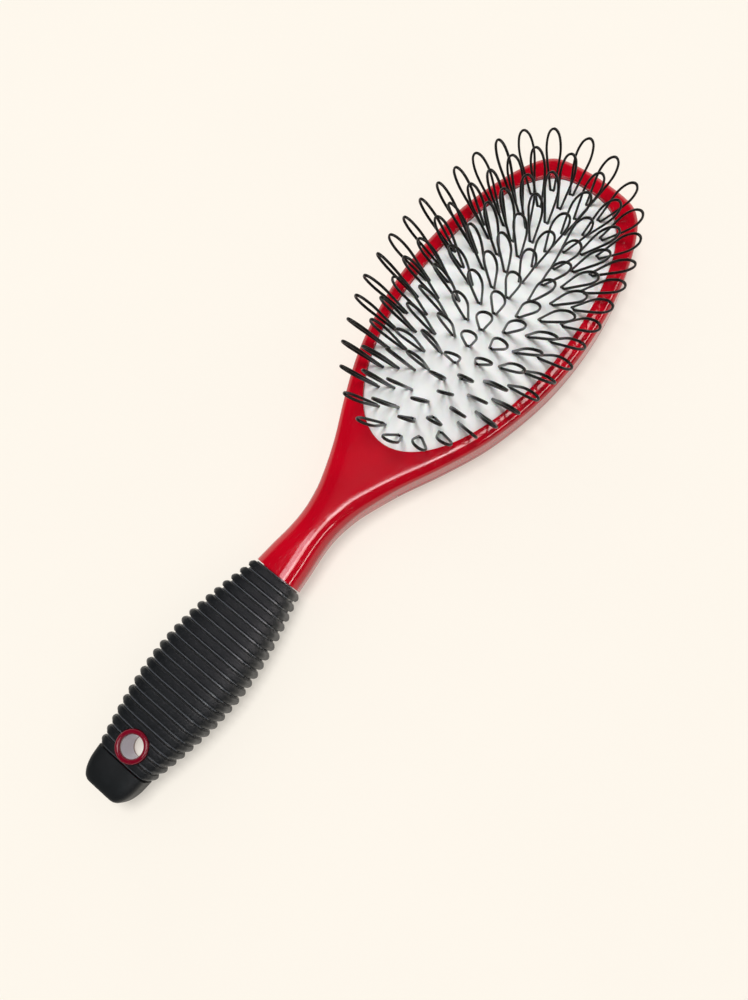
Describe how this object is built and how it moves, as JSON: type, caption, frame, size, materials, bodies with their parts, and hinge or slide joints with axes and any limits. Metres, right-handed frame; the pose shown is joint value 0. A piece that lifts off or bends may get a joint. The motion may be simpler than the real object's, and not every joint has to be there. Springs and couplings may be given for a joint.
{
  "type": "wig brush",
  "caption": "Oval brush with looped bristles on a sprung rubber cushion, a ribbed grip and a hanging eyelet, lying on its back.",
  "frame": {"origin": "middle of the flat back face of the head, which the brush rests on", "axes": "+Y from the handle towards the tip of the head, +Z from the back towards the bristles, +X across the head"},
  "size_m": [0.0668, 0.2381, 0.0355],
  "materials": {
    "red_plastic": "polished red moulding",
    "white_rubber": "smooth satin white rubber",
    "black_nylon": "drawn nylon filament with a soft sheen",
    "grip_rubber": "satin black rubber",
    "cap_plastic": "fine-grained black plastic",
    "ring_plastic": "polished dark red plastic",
    "tube_plastic": "smooth pale plastic"
  },
  "bodies": {
    "brush_body": {"front_frame": "red_plastic", "back_cover": "red_plastic", "cushion_rim": "white_rubber", "grip_sleeve": "grip_rubber", "end_cap": "cap_plastic", "eyelet_tube": "tube_plastic", "eyelet_ring_front": "ring_plastic", "eyelet_ring_back": "ring_plastic"},
    "cushion_crown": {"loop_ring_1_slice_1": "white_rubber", "loop_ring_1_slice_2": "white_rubber", "loop_ring_1_slice_3": "white_rubber", "loop_ring_1_slice_4": "white_rubber", "loop_ring_1_slice_5": "white_rubber", "loop_ring_1_slice_6": "white_rubber", "loop_ring_2_slice_1": "white_rubber", "loop_ring_2_slice_2": "white_rubber", "loop_ring_2_slice_3": "white_rubber", "loop_ring_2_slice_4": "white_rubber", "loop_ring_2_slice_5": "white_rubber", "loop_ring_3_slice_1": "white_rubber", "loop_ring_3_slice_2": "white_rubber", "loop_ring_3_slice_3": "white_rubber", "loop_ring_3_slice_4": "white_rubber", "loop_ring_4_slice_1": "white_rubber", "loop_ring_4_slice_2": "white_rubber"}
  },
  "joints": [
    {"name": "cushion_press", "type": "slide", "parent": "brush_body", "child": "cushion_crown", "axis": [0, 0, -1], "range_m": [0, 0.003], "stiffness_N_per_m": 1500}
  ]
}
